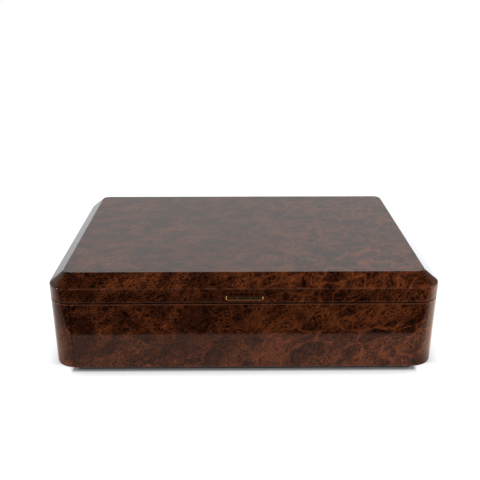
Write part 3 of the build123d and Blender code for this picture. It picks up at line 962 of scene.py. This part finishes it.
def flat_print(work, corners):
    """A thin raised patch of ink on the dial, which faces down."""
    low = [work.verts.new(c - Vector((0, 0, PRINT_LIFT + PRINT_THICKNESS))) for c in corners]
    high = [work.verts.new(c - Vector((0, 0, PRINT_LIFT * 0.3))) for c in corners]
    work.faces.new(low)
    work.faces.new(list(reversed(high)))
    bridge(work, high, low)


class HUMIDOR_OT_stage(bpy.types.Operator):
    """Set up the camera, the pale floor and the soft light"""

    bl_idname = "humidor.stage"
    bl_label = "Stage"

    def execute(self, context):
        settings = context.scene.humidor_stage
        context.scene.view_settings.view_transform = "Standard"
        self.set_camera(context, settings)
        self.lay_floor(settings)
        self.light_world(context, settings)
        self.hang_lights(settings)
        return {"FINISHED"}

    def set_camera(self, context, settings):
        data = bpy.data.cameras.new("camera")
        data.lens = settings.focal_length
        data.sensor_width = 36.0
        data.clip_start = 0.01
        camera = put("camera", data)
        camera.location = settings.camera_place
        camera.rotation_euler = (math.pi / 2 - settings.camera_down, 0.0, -settings.camera_right)
        context.scene.camera = camera

    def lay_floor(self, settings):
        """A wide pale floor. What mirrors it sees it end a little way in front of the box."""
        work = bmesh.new()
        bmesh.ops.create_grid(work, x_segments=1, y_segments=1, size=6.0)
        t = new_shading("pale_floor")
        rays = t.node("ShaderNodeLightPath").outputs
        place = t.millimetres(t.node("ShaderNodeNewGeometry").outputs["Position"])
        x, y, _ = t.axes(place)
        aside = t.maths("ABSOLUTE", x)
        pale_end = FRONT_WALL - settings.pale_reach / MM

        # To the camera: white, with a painted shadow round the box that adds to its real one and is darkest at its
        # foot, and painted light that clears it past the ends of the front
        corner = t.node("ShaderNodeAmbientOcclusion", samples=16)
        corner.inputs["Distance"].default_value = settings.contact
        seen = t.product(
            t.band(corner.outputs["AO"], 0.30, 0.90, 0.15, 1.0),
            t.band(t.vector_maths("LENGTH", place), 300.0, 1200.0, 0.60, 1.0),
        )
        past_ends = t.product(t.band(aside, 161.0, 167.0), t.band(y, -115.0, -100.0, 0.8, 0.0))
        seen = t.product(rays["Is Camera Ray"], t.maths("MAXIMUM", seen, past_ends))

        # To the box: the strip in front throws light back, more of it towards the ends
        bounce = t.product(
            rays["Is Diffuse Ray"],
            t.band(y, pale_end - 3.0, pale_end + 3.0),
            t.band(y, FRONT_WALL - 1.0, FRONT_WALL + 1.0, settings.bounce, 0.0),
            t.band(aside, 20.0, 140.0, 0.66, 1.15),
        )
        paper = t.wired("ShaderNodeBsdfDiffuse", settings.paper)[0]
        lit = t.glow(settings.paper_light, t.maths("ADD", seen, bounce))
        matt = t.wired("ShaderNodeAddShader", paper, lit)[0]

        # To gloss: dark beyond the strip, warm ahead of the box, brighter by the front corners and on the right
        ahead = t.band(y, FRONT_WALL - 5.0, FRONT_WALL + 100.0, 1.0, 0.0)
        beside = t.product(t.band(y, -165.0, -125.0), t.band(y, -50.0, 20.0, 1.0, 0.0))
        corners = t.maths("ADD", t.band(x, 175.0, 215.0, 0.0, 0.85), t.band(x, -215.0, -175.0, 0.35, 0.0))
        corners = t.product(corners, beside)
        right = t.product(t.band(x, 220.0, 400.0), t.band(y, 0.0, 250.0))
        tint = t.blend(ahead, settings.mirrored, settings.mirrored_ahead)
        tint = t.blend(corners, tint, settings.mirrored_corner)
        gain = t.maths("ADD", t.product(t.maths("ADD", corners, right), 1.2), 1.0)
        gloss = t.glow(tint, t.product(t.band(y, pale_end - 3.0, pale_end + 3.0, 0.03, 1.0), gain))

        both = t.wired("ShaderNodeMixShader", rays["Is Glossy Ray"], matt, gloss)[0]
        stand("floor", work, t.send(both))

    def light_world(self, context, settings):
        """White to the camera, an even fill, and to gloss a pale horizon under a dark ceiling."""
        t = Shading(bpy.data.worlds.new("studio"))
        context.scene.world = t.owner
        rays = t.node("ShaderNodeLightPath").outputs
        x, y, z = t.axes(t.node("ShaderNodeTexCoord").outputs["Generated"])
        # Palest low down at the back, less overhead, from behind the camera and from either side
        mirrored = t.product(
            t.band(z, 0.28, 0.46, 0.74, 1.0),
            t.band(z, 0.46, 0.80, 1.0, 0.02),
            t.band(y, -0.45, 0.30, 0.12, 0.96),
            t.band(x, 0.45, 0.70, 1.0, 0.30),
            t.band(x, -0.75, -0.50, 0.60, 1.0),
        )
        low_lamp = (0.933, -0.32, 0.16)
        from_lamp = t.vector_maths("SUBTRACT", t.vector(t.maths("ABSOLUTE", x), y, z), low_lamp)
        glint = t.band(t.vector_maths("LENGTH", from_lamp), 0.06, 0.14, settings.glint, 0.0)
        strength = rays["Is Camera Ray"]
        for ray, level in (
            ("Is Glossy Ray", t.maths("ADD", mirrored, glint)),
            ("Is Diffuse Ray", settings.fill),
            ("Is Transmission Ray", 0.9),
        ):
            strength = t.maths("ADD", strength, t.product(rays[ray], level))
        t.send(t.wired("ShaderNodeBackground", (1.0, 1.0, 1.0), strength)[0], "ShaderNodeOutputWorld")

    def hang_lights(self, settings):
        """A wide overhead light and a softbox on each side. Gloss mirrors the world instead of them."""
        self.softbox("overhead", (0.0, -0.25, 1.5), (1.8, 1.4), settings.overhead_power)
        for name, x in (("side_left", -1.25), ("side_right", 1.25)):
            self.softbox(name, (x, -0.35, 0.75), (0.3, 0.6), settings.side_power)

    def softbox(self, name, place, size, power):
        data = bpy.data.lights.new(name, "AREA")
        data.shape = "RECTANGLE"
        data.size, data.size_y = size
        data.energy = power
        light = put(name, data)
        light.location = place
        light.rotation_euler = (Vector((0.0, 0.0, 0.05)) - Vector(place)).to_track_quat("-Z", "Y").to_euler()
        light.visible_camera = False
        light.visible_glossy = False


class HUMIDOR_PT_sidebar(bpy.types.Panel):
    """Lists the humidor's settings and the operators that make its pieces"""

    bl_label = "Cigar Humidor"
    bl_idname = "HUMIDOR_PT_sidebar"
    bl_space_type = "VIEW_3D"
    bl_region_type = "UI"
    bl_category = "Humidor"

    def draw(self, context):
        layout = self.layout
        for title, name in SETTING_GROUPS.items():
            box = layout.box()
            box.label(text=title)
            group = getattr(context.scene, name)
            for setting in group.bl_rna.properties.keys():
                if setting not in ("rna_type", "name"):
                    box.prop(group, setting)
        for operator in OPERATORS:
            layout.operator(operator.bl_idname)


OPERATORS = (
    HUMIDOR_OT_stage,
    HUMIDOR_OT_case,
    HUMIDOR_OT_foot,
    HUMIDOR_OT_lift,
    HUMIDOR_OT_hinges,
    HUMIDOR_OT_lining,
    HUMIDOR_OT_tray,
    HUMIDOR_OT_humidifier,
    HUMIDOR_OT_hygrometer,
)
SETTING_GROUPS = {
    "Veneer and lacquer": "humidor_burl",
    "Wood": "humidor_wood",
    "Metal": "humidor_metal",
    "Gauge and humidifier": "humidor_gauge",
    "Stage": "humidor_stage",
}
SETTINGS = (BurlSettings, WoodSettings, MetalSettings, GaugeSettings, StageSettings)


def register():
    for cls in (*SETTINGS, *OPERATORS, HUMIDOR_PT_sidebar):
        bpy.utils.register_class(cls)
    for name, cls in zip(SETTING_GROUPS.values(), SETTINGS):
        setattr(bpy.types.Scene, name, PointerProperty(type=cls))


def unregister():
    for name in SETTING_GROUPS.values():
        delattr(bpy.types.Scene, name)
    for cls in reversed((*SETTINGS, *OPERATORS, HUMIDOR_PT_sidebar)):
        bpy.utils.unregister_class(cls)


def main():
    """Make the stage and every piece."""
    register()
    bpy.ops.humidor.stage()
    bpy.ops.humidor.case()
    bpy.ops.humidor.foot()
    bpy.ops.humidor.lift()
    bpy.ops.humidor.hinges()
    bpy.ops.humidor.lining()
    bpy.ops.humidor.tray()
    bpy.ops.humidor.humidifier()
    bpy.ops.humidor.hygrometer()


if __name__ == "__main__":
    main()
